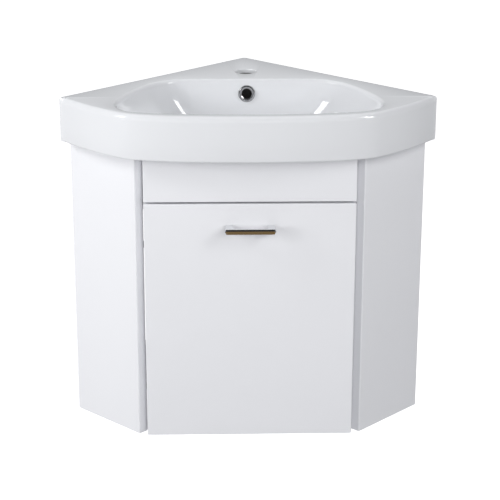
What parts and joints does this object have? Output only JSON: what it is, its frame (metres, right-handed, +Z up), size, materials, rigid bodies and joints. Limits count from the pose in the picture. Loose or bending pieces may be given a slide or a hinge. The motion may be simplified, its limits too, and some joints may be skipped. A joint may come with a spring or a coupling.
{
  "type": "corner vanity unit",
  "caption": "Five-sided corner washbasin on a wall-hung white cabinet with a fixed front strip and a side-hinged door with a chrome pull.",
  "frame": {"origin": "the room corner, where the basin's two wall edges meet in plan, at the height of the cabinet's underside", "axes": "+X to the viewer's right, +Y back into the corner, +Z up; the two walls run from the origin to the left front and right front at 45 degrees to X"},
  "size_m": [0.5986, 0.4385, 0.5415],
  "materials": {
    "white_glaze": "smooth white glaze",
    "chrome_trim": "polished",
    "silicone": "matt",
    "white_board": "smooth white lacquer on board",
    "zinc_steel": "zinc or nickel plated",
    "raw_wood": "unfinished",
    "clear_buffer": "soft clear"
  },
  "bodies": {
    "cabinet": {"basin": "white_glaze", "overflow_ring": "chrome_trim", "seal_strip": "silicone", "left_end_panel": "white_board", "right_end_panel": "white_board", "bottom_panel": "white_board", "left_upper_rail": "white_board", "right_upper_rail": "white_board", "left_lower_rail": "white_board", "right_lower_rail": "white_board", "corner_post": "raw_wood", "front_rail": "white_board", "false_front": "white_board", "front_screws": "zinc_steel", "dowels": "raw_wood", "cam_locks": "zinc_steel", "cam_bolts": "zinc_steel", "angle_brackets": "zinc_steel", "bracket_screws": "zinc_steel", "rail_screws": "zinc_steel", "door_bumpers": "clear_buffer", "hinge_plates": "zinc_steel", "plate_screws": "zinc_steel", "hinge_arms": "zinc_steel", "arm_screws": "zinc_steel"},
    "door": {"door_panel": "white_board", "handle": "chrome_trim", "handle_screws": "zinc_steel", "hinge_cups": "zinc_steel", "cup_screws": "zinc_steel", "hinge_pins": "zinc_steel"}
  },
  "joints": [
    {"name": "door_hinge", "type": "hinge", "parent": "cabinet", "child": "door", "pos_m": [-0.1585, -0.3886, 0.1968], "axis": [0, 0, -1], "range_deg": [0, 95]}
  ]
}
